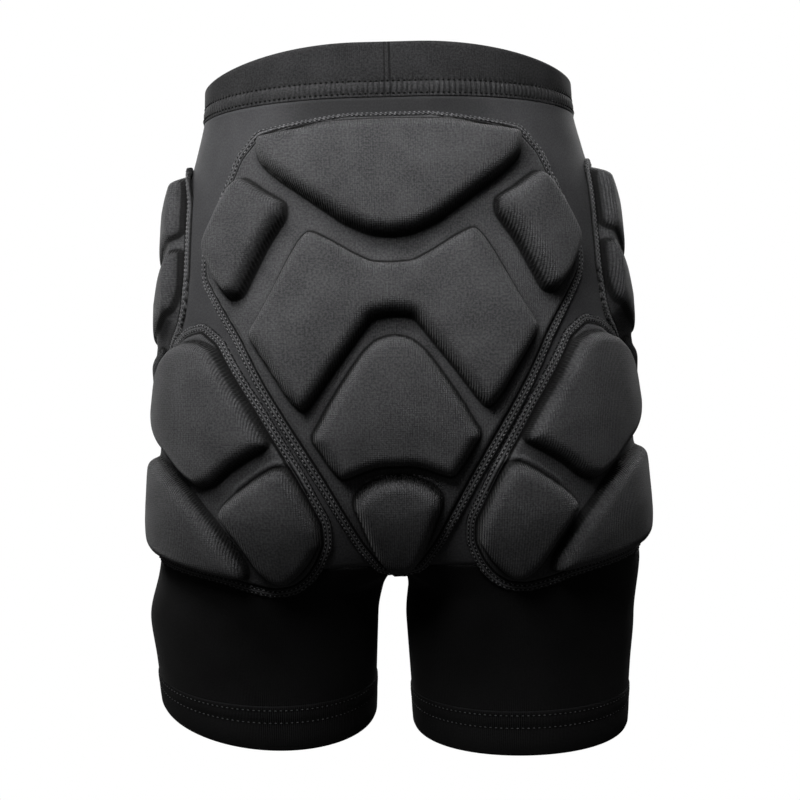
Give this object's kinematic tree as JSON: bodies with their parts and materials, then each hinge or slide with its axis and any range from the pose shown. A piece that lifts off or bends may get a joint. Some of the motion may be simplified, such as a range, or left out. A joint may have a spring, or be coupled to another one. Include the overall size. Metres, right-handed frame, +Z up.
{
  "type": "padded hip protection shorts",
  "caption": "Stretch shorts with foam pads over the tailbone, both hips and the backs of the thighs, in their worn form.",
  "frame": {"origin": "centre of the waist opening, in the middle of the waistband", "axes": "+Z up, from the legs to the waistband; +Y the way the wearer faces; +X the wearer's right"},
  "size_m": [0.3794, 0.2521, 0.501],
  "materials": {
    "elastic": "dark charcoal elastic waistband, matt, two rows of stitches",
    "stretch_cloth": "smooth charcoal stretch knit with a faint sheen",
    "leg_cloth": "matt black stretch knit",
    "pad_cloth": "charcoal ribbed knit moulded over foam, stitched flange"
  },
  "bodies": {
    "root": {"waistband": "elastic", "seat": "stretch_cloth", "left_leg": "leg_cloth", "right_leg": "leg_cloth", "left_hem": "leg_cloth", "right_hem": "leg_cloth", "tail_panel": "pad_cloth", "tail_lobe_top": "pad_cloth", "tail_lobe_left": "pad_cloth", "tail_lobe_right": "pad_cloth", "tail_lobe_middle": "pad_cloth", "tail_lobe_lower": "pad_cloth", "tail_lobe_tip": "pad_cloth", "left_thigh_panel": "pad_cloth", "left_thigh_lobe_upper": "pad_cloth", "left_thigh_lobe_inner": "pad_cloth", "left_thigh_lobe_outer": "pad_cloth", "left_hip_panel": "pad_cloth", "left_hip_lobe_upper": "pad_cloth", "left_hip_lobe_middle": "pad_cloth", "left_hip_lobe_lower": "pad_cloth", "right_thigh_panel": "pad_cloth", "right_thigh_lobe_upper": "pad_cloth", "right_thigh_lobe_inner": "pad_cloth", "right_thigh_lobe_outer": "pad_cloth", "right_hip_panel": "pad_cloth", "right_hip_lobe_upper": "pad_cloth", "right_hip_lobe_middle": "pad_cloth", "right_hip_lobe_lower": "pad_cloth"}
  },
  "joints": []
}
